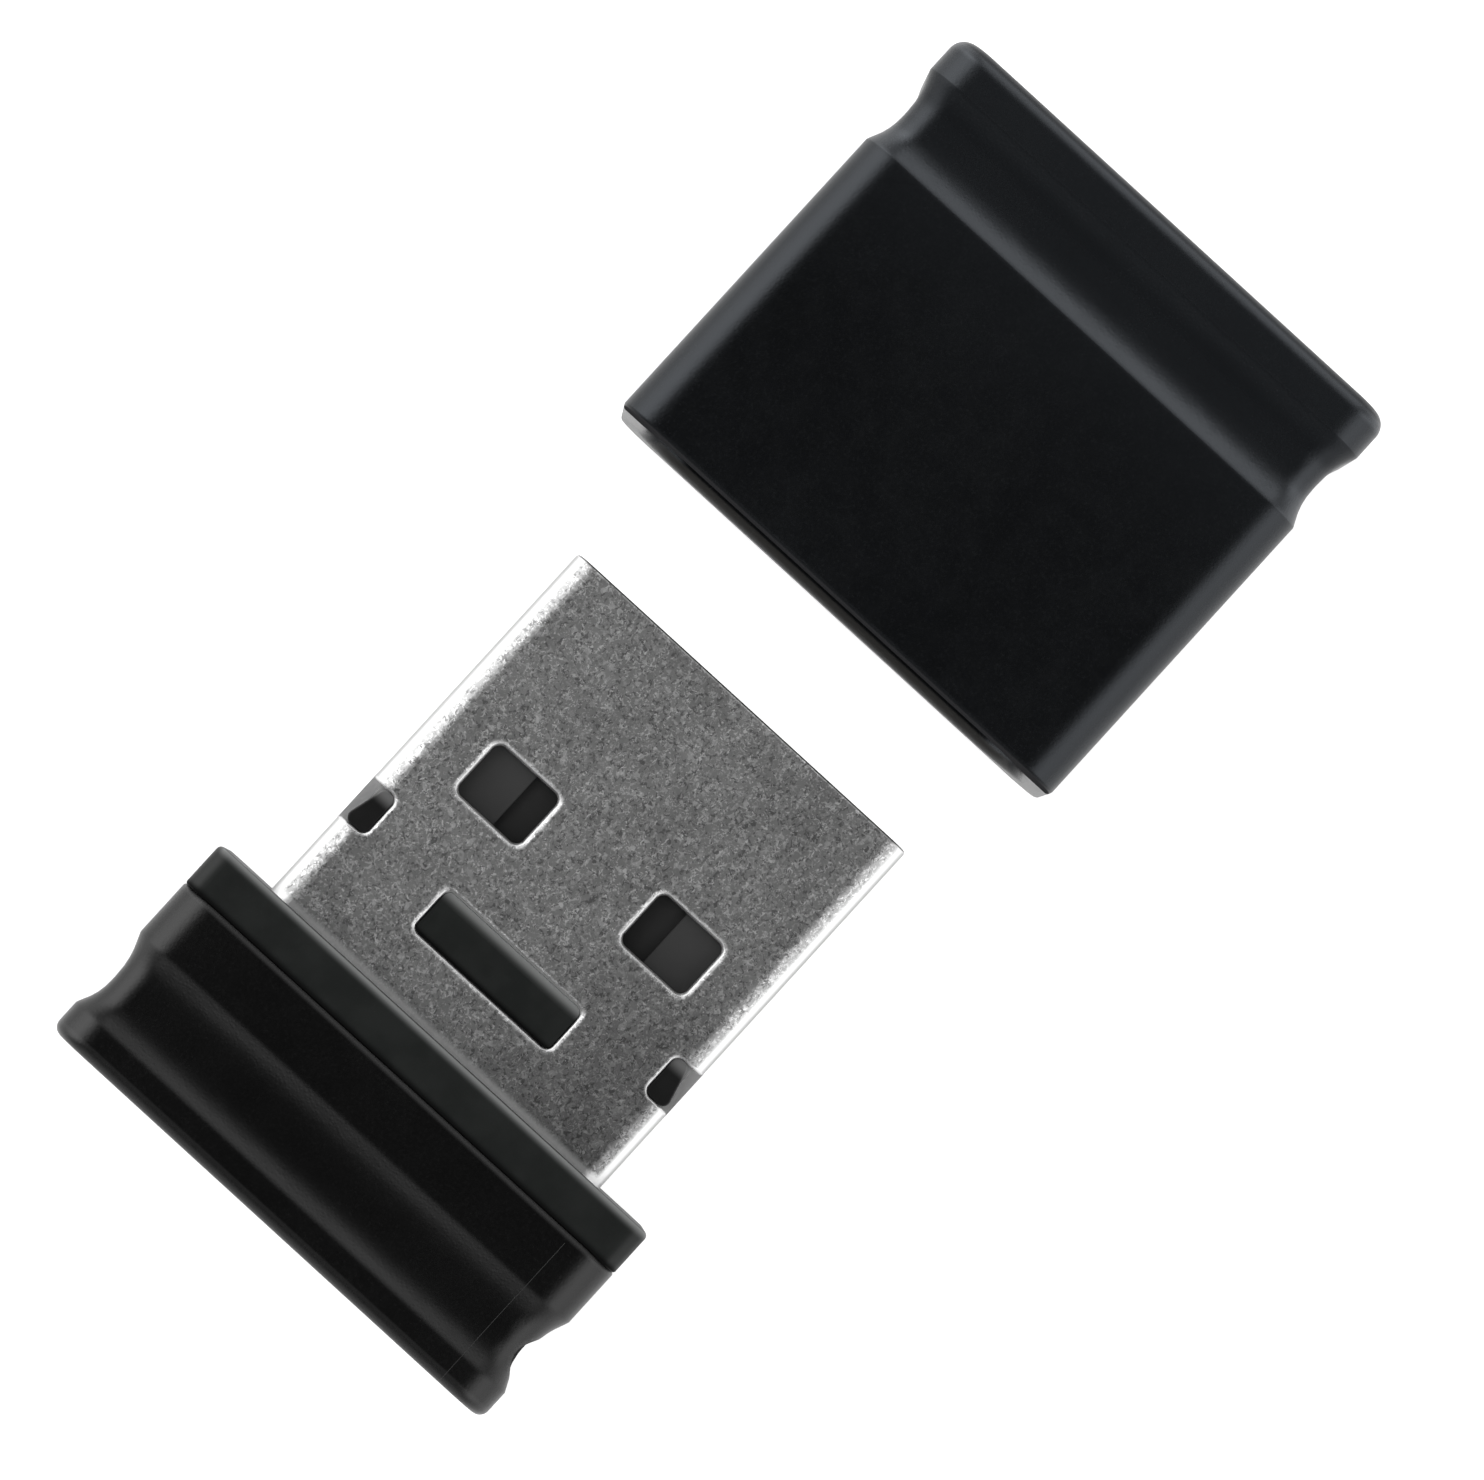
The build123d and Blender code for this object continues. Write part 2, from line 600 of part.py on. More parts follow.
with BuildPart() as front_collar:
    with BuildSketch(Plane.YZ.offset(HOUSING_FRONT)):
        RectangleRounded(COLLAR_WIDTH, COLLAR_HEIGHT, COLLAR_CORNER)
    extrude(amount=COLLAR_THICKNESS)
    fillet(front_collar.faces().sort_by(Axis.X)[-1].edges(), COLLAR_FRONT_ROUND)
    fillet(front_collar.faces().sort_by(Axis.X)[0].edges(), COLLAR_REAR_ROUND)
    with BuildSketch(Plane.YZ.offset(HOUSING_FRONT)):
        RectangleRounded(SPIGOT_WIDTH, SPIGOT_HEIGHT, SPIGOT_CORNER)
    extrude(amount=-SPIGOT_LENGTH)
    with BuildSketch(Plane.YZ):
        RectangleRounded(SHELL_WIDTH, SHELL_HEIGHT, SHELL_CORNER)
    extrude(amount=-COLLAR_THICKNESS - SPIGOT_LENGTH, mode=Mode.SUBTRACT)
front_collar.part.label = "front_collar"

# Rear housing

housing_groove = groove_ring(HOUSING_GROOVE)

with BuildPart() as rear_housing:
    with BuildSketch(Plane.YZ.offset(HOUSING_REAR)):
        RectangleRounded(BODY_WIDTH, BODY_HEIGHT, BODY_CORNER)
    extrude(amount=HOUSING_LENGTH)
    fillet(rear_housing.faces().sort_by(Axis.X)[0].edges(), HOUSING_REAR_ROUND)
    fillet(rear_housing.faces().sort_by(Axis.X)[-1].edges(), HOUSING_FRONT_ROUND)
    add(housing_groove, mode=Mode.SUBTRACT)
    # Recess for the collar's spigot, then the socket for the shell's tail
    with BuildSketch(Plane.YZ.offset(HOUSING_FRONT)):
        RectangleRounded(SPIGOT_WIDTH, SPIGOT_HEIGHT, SPIGOT_CORNER)
    extrude(amount=-SPIGOT_LENGTH, mode=Mode.SUBTRACT)
    with BuildSketch(Plane.YZ.offset(HOUSING_FRONT)):
        RectangleRounded(SHELL_WIDTH, SHELL_HEIGHT, SHELL_CORNER)
    extrude(amount=-SOCKET_DEPTH, mode=Mode.SUBTRACT)
    # Lanyard passage round the rear corner
    with BuildSketch(Plane.XZ.offset(BODY_WIDTH / 2)):
        with Locations((LANYARD_X, LANYARD_SLOT_Z)):
            SlotOverall(LANYARD_SLOT_HEIGHT, 2 * LANYARD_RADIUS, rotation=90)
    extrude(amount=-(BODY_WIDTH / 2 + LANYARD_Y + LANYARD_RADIUS), mode=Mode.SUBTRACT)
    with BuildSketch(Plane.YZ.offset(HOUSING_REAR)):
        with Locations((LANYARD_Y, 0)):
            Circle(LANYARD_RADIUS)
    extrude(amount=LANYARD_X - HOUSING_REAR, mode=Mode.SUBTRACT)
rear_housing.part.label = "rear_housing"

# Cap

cap_groove = groove_ring(CAP_GROOVE)

with BuildPart() as cap:
    with BuildSketch(Plane.YZ.offset(CAP_MOUTH)):
        RectangleRounded(BODY_WIDTH, BODY_HEIGHT, BODY_CORNER)
    extrude(amount=CAP_LENGTH)
    fillet(cap.faces().sort_by(Axis.X)[-1].edges(), CAP_END_ROUND)
    fillet(cap.faces().sort_by(Axis.X)[0].edges(), CAP_LIP_ROUND)
    add(cap_groove, mode=Mode.SUBTRACT)
    with BuildSketch(Plane.YZ.offset(CAP_MOUTH)):
        RectangleRounded(CAVITY_WIDTH, CAVITY_HEIGHT, CAVITY_CORNER)
    extrude(amount=CAVITY_DEPTH, mode=Mode.SUBTRACT)
    fillet(cap.faces().sort_by(Axis.X)[0].inner_wires()[0].edges(), CAP_LIP_INNER_ROUND)
    # Ribs that guide and grip the plug
    top_rib = rib_outline(CAVITY_HEIGHT / 2 + RIB_BITE, SHELL_HEIGHT / 2 + RIB_GAP)
    side_rib = rib_outline(CAVITY_WIDTH / 2 + RIB_BITE, SHELL_WIDTH / 2 + RIB_GAP)
    for rib_y in TOP_RIB_Y:
        with BuildSketch(Plane.XZ.offset(-rib_y)):
            Polygon(*top_rib, align=None)
            mirror(about=Plane.XZ)
        extrude(amount=RIB_WIDTH / 2, both=True)
    for rib_z in SIDE_RIB_Z:
        with BuildSketch(Plane.XY.offset(rib_z)):
            Polygon(*side_rib, align=None)
            mirror(about=Plane.XZ)
        extrude(amount=RIB_WIDTH / 2, both=True)
cap.part.label = "cap"

# Write one STEP file per piece, named after the piece

for piece in (
    plug_shell,
    module_substrate,
    vbus_contact,
    data_minus_contact,
    data_plus_contact,
    ground_contact,
    *buried_pieces,
    module_encapsulant,
    module_adhesive,
    plug_carrier,
    module_retainer,
    front_collar,
    rear_housing,
    cap,
):
    export_step(piece.part, f"parts/{piece.part.label}.step")
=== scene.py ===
import math

import bpy
from mathutils import Matrix, Vector


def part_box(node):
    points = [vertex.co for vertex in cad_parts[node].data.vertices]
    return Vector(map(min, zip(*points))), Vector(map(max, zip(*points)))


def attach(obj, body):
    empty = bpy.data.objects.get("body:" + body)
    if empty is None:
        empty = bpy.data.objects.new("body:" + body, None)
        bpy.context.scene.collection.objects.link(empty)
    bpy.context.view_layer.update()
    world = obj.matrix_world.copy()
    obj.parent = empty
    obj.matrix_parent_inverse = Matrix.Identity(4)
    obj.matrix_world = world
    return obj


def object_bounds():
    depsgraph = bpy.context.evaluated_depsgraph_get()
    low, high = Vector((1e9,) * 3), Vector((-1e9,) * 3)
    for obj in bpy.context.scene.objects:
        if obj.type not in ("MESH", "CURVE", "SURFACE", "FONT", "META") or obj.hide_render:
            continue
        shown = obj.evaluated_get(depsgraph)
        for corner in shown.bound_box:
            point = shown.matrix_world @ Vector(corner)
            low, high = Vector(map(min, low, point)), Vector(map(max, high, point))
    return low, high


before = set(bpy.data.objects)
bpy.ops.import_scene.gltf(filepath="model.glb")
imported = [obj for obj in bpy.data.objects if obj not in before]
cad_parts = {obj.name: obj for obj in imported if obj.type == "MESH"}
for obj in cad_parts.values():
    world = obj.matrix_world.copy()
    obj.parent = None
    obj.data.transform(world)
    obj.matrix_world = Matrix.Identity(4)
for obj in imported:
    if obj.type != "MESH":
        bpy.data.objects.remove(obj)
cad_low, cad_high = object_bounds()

MM = 0.001


def grey(level):
    """Return an opaque neutral colour."""
    return (level, level, level, 1)


BLACK = grey(0.0)
WHITE = grey(1.0)

# ------------------------------------------------------------------ node graphs


class Graph:
    """A material or world node tree built by chaining sockets."""

    def __init__(self, tree):
        self.tree = tree
        tree.nodes.clear()

    def add(self, kind, **settings):
        node = self.tree.nodes.new(kind)
        for name, value in settings.items():
            setattr(node, name, value)
        return node

    def feed(self, socket, value):
        """Connect value to an input socket, or store it there when it is a plain number."""
        if isinstance(value, bpy.types.NodeSocket):
            self.tree.links.new(value, socket)
        elif value is not None:
            socket.default_value = value

    def math(self, operation, first, second=0.0):
        node = self.add("ShaderNodeMath", operation=operation)
        self.feed(node.inputs[0], first)
        self.feed(node.inputs[1], second)
        return node.outputs[0]

    def times(self, first, second):
        return self.math("MULTIPLY", first, second)

    def plus(self, first, second):
        return self.math("ADD", first, second)

    def minus(self, first, second):
        return self.math("SUBTRACT", first, second)

    def component(self, vector, letter):
        """Return the X, Y or Z of a vector."""
        split = self.add("ShaderNodeSeparateXYZ")
        self.feed(split.inputs[0], vector)
        return split.outputs[letter]

    def spread(self, value, low, high, out_low=0.0, out_high=1.0):
        """Map the range low..high to out_low..out_high with a smooth step, held beyond both ends."""
        node = self.add("ShaderNodeMapRange", interpolation_type="SMOOTHSTEP")
        self.feed(node.inputs["Value"], value)
        self.feed(node.inputs["From Min"], low)
        self.feed(node.inputs["From Max"], high)
        self.feed(node.inputs["To Min"], out_low)
        self.feed(node.inputs["To Max"], out_high)
        return node.outputs["Result"]

    def scale(self, colour, factor):
        """Multiply a colour by a number."""
        node = self.add("ShaderNodeVectorMath", operation="SCALE")
        self.feed(node.inputs[0], colour)
        self.feed(node.inputs["Scale"], factor)
        return node.outputs[0]

    def blend(self, factor, first, second):
        """Mix two colours: all first at 0, all second at 1."""
        node = self.add("ShaderNodeMix", data_type="RGBA")
        self.feed(node.inputs[0], factor)
        self.feed(node.inputs[6], first)
        self.feed(node.inputs[7], second)
        return node.outputs[2]


BEVEL_SAMPLES = 4


class Surface(Graph):
    """A Principled material whose textures are laid out in object millimetres."""

    def __init__(self, name, **values):
        self.material = bpy.data.materials.new(name)
        self.material.use_nodes = True
        super().__init__(self.material.node_tree)
        self.shader = self.add("ShaderNodeBsdfPrincipled")
        output = self.add("ShaderNodeOutputMaterial")
        self.feed(output.inputs["Surface"], self.shader.outputs["BSDF"])
        self.place = self.stretch((1, 1, 1))
        for key, value in values.items():
            self.feed(self.shader.inputs[key.replace("_", " ")], value)

    def stretch(self, per_mm, shift=(0, 0, 0)):
        """Return object coordinates in millimetres, scaled along each axis."""
        coordinates = self.add("ShaderNodeTexCoord")
        mapping = self.add("ShaderNodeMapping")
        self.feed(mapping.inputs["Vector"], coordinates.outputs["Object"])
        mapping.inputs["Scale"].default_value = [s / MM for s in per_mm]
        mapping.inputs["Location"].default_value = shift
        return mapping.outputs["Vector"]

    def noise(self, per_mm, detail=2.0, rough=0.5, distortion=0.0, place=None):
        """Return cloudy noise with per_mm lumps to the millimetre."""
        node = self.add("ShaderNodeTexNoise")
        self.feed(node.inputs["Vector"], place or self.place)
        node.inputs["Scale"].default_value = per_mm
        node.inputs["Detail"].default_value = detail
        node.inputs["Roughness"].default_value = rough
        node.inputs["Distortion"].default_value = distortion
        return node.outputs["Fac"]

    def cells(self, per_mm):
        """Return the distance to the nearest of per_mm scattered points to the millimetre."""
        node = self.add("ShaderNodeTexVoronoi", feature="F1")
        self.feed(node.inputs["Vector"], self.place)
        node.inputs["Scale"].default_value = per_mm
        return node.outputs["Distance"]

    def bump(self, height, depth_mm, normal=None):
        """Raise the surface by height times depth_mm."""
        node = self.add("ShaderNodeBump")
        self.feed(node.inputs["Height"], height)
        self.feed(node.inputs["Normal"], normal)
        node.inputs["Distance"].default_value = depth_mm * MM
        node.inputs["Strength"].default_value = 1.0
        return node.outputs["Normal"]

    def at(self, letter):
        """Return one component of the position on the object, in millimetres."""
        return self.component(self.place, letter)

    def facing(self, letter):
        """Return one component of the true surface normal."""
        return self.component(self.add("ShaderNodeNewGeometry").outputs["Normal"], letter)

    def soft_edges(self, radius_mm):
        """Return a normal that rolls over corners within radius_mm of them."""
        node = self.add("ShaderNodeBevel", samples=BEVEL_SAMPLES)
        node.inputs["Radius"].default_value = radius_mm * MM
        return node.outputs["Normal"]

    def edge_mask(self, rounded):
        """Return 1 where the rounded normal leaves the true one, on corners, and 0 on flat ground."""
        geometry = self.add("ShaderNodeNewGeometry")
        node = self.add("ShaderNodeVectorMath", operation="DOT_PRODUCT")
        self.feed(node.inputs[0], rounded)
        self.feed(node.inputs[1], geometry.outputs["Normal"])
        return self.spread(node.outputs["Value"], 0.985, 0.85)

    def use(self, **values):
        """Feed the shader's inputs and return the finished material."""
        for key, value in values.items():
            self.feed(self.shader.inputs[key.replace("_", " ")], value)
        return self.material


# -------------------------------------------------------------------- materials


def moulded_plastic(name, dark, light, tint, roughness):
    """Spark-eroded satin moulding: grain, slow gloss drift, handling marks, and corners lightened as part
    wear, part painted highlight.
    """
    s = Surface(name, Specular_Tint=tint, Specular_IOR_Level=0.5)
    drift = s.noise(0.22, detail=3.0)
    cloud = s.noise(1.3, detail=4.0, rough=0.6)
    grain = s.noise(12.0, detail=3.0, rough=0.65)
    pits = s.spread(s.cells(9.0), 0.1, 0.55)
    patches = s.spread(s.noise(2.6, detail=5.0), 0.35, 0.75)
    rounded = s.soft_edges(0.22)
    edge_wear_and_highlight = s.times(s.edge_mask(rounded), patches)
    hair = s.noise(2.2, detail=6.0, rough=0.7, place=s.stretch((0.35, 5.0, 1.6), (3.1, 7.7, 1.3)))
    scratches = s.spread(hair, 0.68, 0.76)
    tone = s.blend(s.spread(cloud, 0.35, 0.7), dark, light)
    # Paler colour laid on the corners as part wear, part painted highlight, and on the grain's specks.
    pale_wear_and_highlight = tuple(2.0 * c + 0.003 for c in light[:3]) + (1,)
    tone = s.blend(s.times(edge_wear_and_highlight, 0.8), tone, pale_wear_and_highlight)
    tone = s.blend(s.times(s.spread(grain, 0.54, 0.7), 0.3), tone, pale_wear_and_highlight)
    gloss = s.plus(s.times(drift, 0.5), s.times(grain, 0.5))
    rough = s.spread(gloss, 0.3, 0.7, roughness - 0.04, roughness + 0.04)
    rough = s.plus(rough, s.times(scratches, 0.05))
    relief = s.plus(s.times(grain, 0.6), s.times(pits, 0.4))
    normal = s.bump(relief, 0.003, rounded)
    normal = s.bump(scratches, -0.0006, normal)
    s.use(Roughness=rough, Normal=normal)
    return s, tone


# Grey of the painted highlight lines along the housing's front and rear edges.
HIGHLIGHT_LINE_GREY = grey(0.028)


def housing_moulding():
    """Black housing with a painted highlight line round its front and rear edges."""
    s, tone = moulded_plastic("housing_plastic", grey(0.0008), grey(0.0016), WHITE, 0.25)
    low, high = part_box("rear_housing")
    front_x, rear_x = high.x / MM, low.x / MM
    x = s.at("X")
    # Painted highlight: lighter lines just behind the front face and just ahead of the rear face.
    front_highlight_line = s.spread(x, front_x - 0.2, front_x - 0.1)
    rear_highlight_line = s.times(s.spread(x, rear_x + 0.2, rear_x + 0.3), s.spread(x, rear_x + 0.4, rear_x + 0.34))
    lines = s.math("MAXIMUM", s.times(front_highlight_line, 0.75), s.times(rear_highlight_line, 0.45))
    return s.use(Base_Color=s.blend(lines, tone, HIGHLIGHT_LINE_GREY))


CAP_DARK = (0.0021, 0.0023, 0.0026, 1)
CAP_LIGHT = (0.0037, 0.004, 0.0044, 1)
CAP_PALE = (0.0096, 0.0107, 0.0121, 1)
CAP_GLOSS_TINT = (0.86, 0.92, 1.0, 1)
CAP_PALE_START = 4.5
CAVITY_HALF_HEIGHT = 2.2
# Painted colours at the mouth: a grey sheen on the upper lip in place of its reflection, and a painted
# highlight on the lower lip.
UPPER_LIP_SHEEN = (0.034, 0.034, 0.036, 1)
LOWER_LIP_HIGHLIGHT = (0.06, 0.058, 0.055, 1)


def cap_moulding():
    """Cool black cap: glossy where it slopes forward, dull where it slopes back, paler to its end."""
    s, tone = moulded_plastic("cap_plastic", CAP_DARK, CAP_LIGHT, CAP_GLOSS_TINT, 0.25)
    low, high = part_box("cap")
    mouth_x, end_x = low.x / MM, high.x / MM
    x, z = s.at("X"), s.at("Z")
    tone = s.blend(s.spread(x, mouth_x + CAP_PALE_START, end_x + 1.0), tone, CAP_PALE)

    # Painted highlight on the lower lip; painted sheen on the upper lip's end face, whose specular is
    # turned down below.
    at_mouth = s.spread(x, mouth_x + 0.3, mouth_x + 0.22)
    lower_lip_highlight = s.times(at_mouth, s.spread(z, -CAVITY_HALF_HEIGHT, -CAVITY_HALF_HEIGHT - 0.3))
    tone = s.blend(lower_lip_highlight, tone, LOWER_LIP_HIGHLIGHT)
    facing_x = s.facing("X")
    upper_lip_sheen = s.times(at_mouth, s.spread(z, CAVITY_HALF_HEIGHT - 0.2, CAVITY_HALF_HEIGHT + 0.1))
    upper_lip_sheen = s.times(upper_lip_sheen, s.spread(facing_x, -0.4, -0.75))
    tone = s.blend(upper_lip_sheen, tone, UPPER_LIP_SHEEN)

    forward_slope = s.spread(facing_x, 0.04, 0.24)
    back_slope = s.spread(facing_x, -0.05, -0.25)
    end_wall = s.spread(facing_x, 0.5, 0.7)
    level = s.plus(s.times(forward_slope, 0.4), 0.5)
    level = s.minus(level, s.times(end_wall, 0.6))
    level = s.minus(level, s.times(back_slope, 0.25))
    level = s.times(level, s.minus(1.0, upper_lip_sheen))
    return s.use(Base_Color=tone, Specular_IOR_Level=level)


def smooth_plastic(name):
    """Smooth charcoal moulding, returned unfinished with its plain tone so that edges can be shaded."""
    s = Surface(name)
    cloud = s.noise(1.1, detail=4.0, rough=0.6)
    grain = s.noise(19.0, detail=3.0, rough=0.6)
    speck = s.spread(s.cells(11.0), 0.16, 0.08)
    tone = s.blend(s.spread(cloud, 0.35, 0.7), (0.0102, 0.0117, 0.011, 1), (0.0115, 0.0131, 0.0123, 1))
    tone = s.blend(s.times(speck, 0.1), tone, (0.06, 0.064, 0.062, 1))
    rough = s.spread(cloud, 0.3, 0.7, 0.36, 0.44)
    normal = s.bump(s.plus(grain, s.times(speck, -0.4)), 0.0015)
    s.use(Roughness=rough, Normal=normal)
    return s, tone


# Places along and across the plug, in millimetres, where the charcoal changes tone.
SLOT_REAR, SLOT_FRONT = 1.81, 3.23
WINDOW_REAR, WINDOW_FRONT = 5.2, 7.2
RAIL_SIDE = 2.76
TAB_SIDE = 5.0
FOLD_RUN = 0.9

# Painted highlight colour for the front rims and painted shade colour for the rear ends of charcoal
# pieces.
RIM_HIGHLIGHT = (0.25, 0.256, 0.253, 1)
EDGE_SHADE = grey(0.0035)
CHARCOAL_LEVEL = 0.3


def shade_ends(s, tone, front_x, rear_x, front_run, rear_run):
    """Paint a highlight on a charcoal piece's front rim over front_run and painted shade on its rear over
    rear_run.
    """
    x = s.at("X")
    rim_highlight = s.math("POWER", s.spread(x, front_x - front_run, front_x), 1.6)
    off_front_face = s.spread(s.facing("X"), 0.97, 0.8)
    rear_shade = s.math("POWER", s.spread(x, rear_x + rear_run, rear_x), 1.3)
    tone = s.blend(s.times(s.times(rim_highlight, off_front_face), 0.95), tone, RIM_HIGHLIGHT)
    tone = s.blend(rear_shade, tone, EDGE_SHADE)
    level = s.spread(rear_shade, 0.0, 1.0, CHARCOAL_LEVEL, 0.03)
    return tone, level


def collar_charcoal():
    """Charcoal collar with a painted highlight on its front rim and painted shade on its rear and +Y
    ends.
    """
    s, tone = smooth_plastic("collar_plastic")
    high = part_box("front_collar")[1]
    seam_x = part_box("rear_housing")[1].x / MM
    side_y = high.y / MM
    tone, level = shade_ends(s, tone, high.x / MM, seam_x, 0.31, 0.3)
    tone = s.blend(s.spread(s.at("Y"), side_y - 0.22, side_y), tone, EDGE_SHADE)
    return s.use(Base_Color=tone, Specular_IOR_Level=level)


def carrier_charcoal():
    """Charcoal carrier: rails painted lighter and the channel floor painted darker as lit and shaded, and
    a painted highlight on the slot block's front edge.
    """
    s, tone = smooth_plastic("carrier_plastic")
    x, z = s.at("X"), s.at("Z")
    side = s.math("ABSOLUTE", s.at("Y"))

    # Painted light seen through the windows: the raised rails get a lighter tone and the channel floor a
    # darker one, as lit and shaded copies of one charcoal, both lighter towards the tip.
    window_floor = s.times(s.spread(x, 3.6, 3.7), s.spread(z, 1.5, 1.55))
    tipward = s.spread(x, WINDOW_REAR, WINDOW_FRONT)
    lit_rail_tone = s.blend(tipward, grey(0.036), grey(0.052))
    shaded_floor_tone = s.blend(tipward, grey(0.018), grey(0.03))
    on_rail = s.spread(side, RAIL_SIDE - 0.03, RAIL_SIDE + 0.03)
    tone = s.blend(window_floor, tone, s.blend(on_rail, shaded_floor_tone, lit_rail_tone))

    block = s.times(s.spread(z, 1.95, 2.0), s.spread(side, TAB_SIDE, TAB_SIDE - 0.05))
    lit, level = shade_ends(s, tone, SLOT_FRONT, SLOT_REAR, 0.38, 0.24)
    tone = s.blend(block, tone, lit)
    level = s.blend(block, grey(CHARCOAL_LEVEL), level)

    # Painted highlight: the snap tabs in the side notches turn from near black to pale grey towards their
    # front.
    tab_highlight_tone = s.blend(s.spread(x, 3.6, 4.0), grey(0.006), grey(0.15))
    tone = s.blend(s.spread(side, TAB_SIDE, TAB_SIDE + 0.05), tone, tab_highlight_tone)
    return s.use(Base_Color=tone, Specular_IOR_Level=level)


def plated_shell():
    """Tumbled and plated sheet steel: pale flecks, sparks and hollows, eased long edges, a darker tip
    face, and painted shade and painted highlights laid into its colour.
    """
    s = Surface("shell_steel", Metallic=1.0)
    tip_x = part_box("plug_shell")[1].x / MM
    side_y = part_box("plug_shell")[1].y / MM
    x, y = s.at("X"), s.at("Y")
    side = s.math("ABSOLUTE", y)

    pebble = s.noise(7.2, detail=1.0, rough=0.5, distortion=0.8)
    curl = s.noise(9.6, detail=1.0, rough=0.5, distortion=1.8)
    patch = s.spread(s.noise(3.2, detail=2.0), 0.35, 0.65, 0.45, 1.0)
    fleck = s.times(s.spread(pebble, 0.54, 0.63), patch)
    wisp = s.times(s.spread(curl, 0.57, 0.66), patch)
    hollow = s.spread(s.noise(7.5, detail=1.5, distortion=0.8), 0.47, 0.36)
    spark = s.spread(s.noise(9.5, detail=0.5, distortion=0.6), 0.68, 0.75)
    blot = s.spread(s.noise(1.9, detail=3.0, rough=0.6), 0.36, 0.6, 0.12, 0.0)
    cloud = s.noise(0.8, detail=2.0)
    tone = s.blend(s.spread(cloud, 0.3, 0.7), grey(0.455), grey(0.49))
    tone = s.blend(s.times(hollow, 0.85), tone, grey(0.22))
    for mark, strength in ((fleck, 0.62), (wisp, 0.85), (spark, 1.0)):
        tone = s.blend(s.times(mark, strength), tone, WHITE)
    tone = s.blend(blot, tone, BLACK)

    # Painted shade: the steel is darkened towards the rear and the -Y side, most where both meet.
    rearward_shade = s.spread(x, 9.5, 0.0)
    sideward_shade = s.spread(y, 1.0, -5.0)
    shade = s.plus(s.times(rearward_shade, 0.04), s.times(sideward_shade, 0.08))
    shade = s.plus(shade, s.times(s.times(rearward_shade, sideward_shade), 0.28))
    tone = s.blend(shade, tone, BLACK)
    # Painted highlight on the steel just ahead of the collar's front rim.
    highlight_at_collar = s.spread(x, 0.32, 0.1)
    tone = s.blend(s.times(highlight_at_collar, 0.85), tone, WHITE)

    # Painted highlight: the eased long edges get a near-white colour and the upright sides a mid grey, in
    # place of the flecked tone of the flat faces.
    flat = s.spread(s.math("ABSOLUTE", s.facing("Z")), 0.72, 0.88)
    upright = s.spread(s.math("ABSOLUTE", s.facing("Y")), 0.8, 0.96)
    tone = s.blend(flat, grey(0.95), tone)
    tone = s.blend(upright, tone, grey(0.55))
    # Painted highlight: the upward-facing floor of each side notch is made white.
    notch_floor_highlight = s.times(s.spread(side, 5.1, 5.3), s.spread(s.at("Z"), 2.0, 1.9))
    notch_floor_highlight = s.times(notch_floor_highlight, s.spread(s.facing("Z"), 0.6, 0.85))
    tone = s.blend(notch_floor_highlight, tone, WHITE)
    # Darker where the tip's face points forward.
    tip_face_darkening = s.times(s.spread(x, tip_x - 0.06, tip_x - 0.02), s.spread(s.facing("X"), 0.1, 0.4))
    tone = s.blend(s.times(tip_face_darkening, 0.9), tone, grey(0.07))

    fold = s.math("POWER", s.spread(side, side_y - FOLD_RUN, side_y - 0.3), 2.0)
    normal = s.bump(fold, -0.012)
    normal = s.bump(pebble, 0.004, normal)
    normal = s.bump(s.noise(16.0, detail=2.0), 0.002, normal)
    rough = s.spread(cloud, 0.3, 0.7, 0.38, 0.4)
    return s.use(Base_Color=tone, Roughness=rough, Normal=normal)


def gold_contact():
    """Gold over nickel: fine plating grain and wipe marks from being plugged in."""
    s = Surface("contact_gold", Metallic=1.0)
    wipe = s.noise(3.0, detail=5.0, place=s.stretch((0.3, 10.0, 1.0)))
    grain = s.noise(22.0, detail=2.0)
    tone = s.blend(s.spread(wipe, 0.35, 0.7), (0.84, 0.58, 0.24, 1), (0.95, 0.72, 0.36, 1))
    rough = s.spread(wipe, 0.3, 0.7, 0.18, 0.34)
    normal = s.bump(grain, 0.0015, s.soft_edges(0.02))
    normal = s.bump(wipe, 0.002, normal)
    return s.use(Base_Color=tone, Roughness=rough, Normal=normal)


def bond_gold():
    """Fine gold wire, slightly drawn along its length."""
    s = Surface("wire_gold", Metallic=1.0)
    grain = s.noise(30.0, detail=3.0)
    tone = s.blend(grain, (0.86, 0.6, 0.22, 1), (1.0, 0.78, 0.4, 1))
    rough = s.spread(grain, 0.3, 0.7, 0.15, 0.3)
    return s.use(Base_Color=tone, Roughness=rough, Normal=s.bump(grain, 0.001))


def solder_mask():
    """Dark green mask over a glass weave that just shows through."""
    s = Surface("substrate_laminate")
    weave_x = s.add("ShaderNodeTexWave", wave_type="BANDS", bands_direction="X")
    weave_y = s.add("ShaderNodeTexWave", wave_type="BANDS", bands_direction="Y")
    for wave in (weave_x, weave_y):
        s.feed(wave.inputs["Vector"], s.place)
        wave.inputs["Scale"].default_value = 1.1
        wave.inputs["Distortion"].default_value = 0.6
        wave.inputs["Detail"].default_value = 2.0
    weave = s.times(weave_x.outputs["Fac"], weave_y.outputs["Fac"])
    grain = s.noise(14.0, detail=4.0)
    tone = s.blend(weave, (0.004, 0.022, 0.013, 1), (0.007, 0.034, 0.02, 1))
    rough = s.spread(grain, 0.3, 0.7, 0.26, 0.4)
    normal = s.bump(weave, 0.004, s.soft_edges(0.03))
    return s.use(Base_Color=tone, Roughness=rough, Normal=s.bump(grain, 0.002, normal))


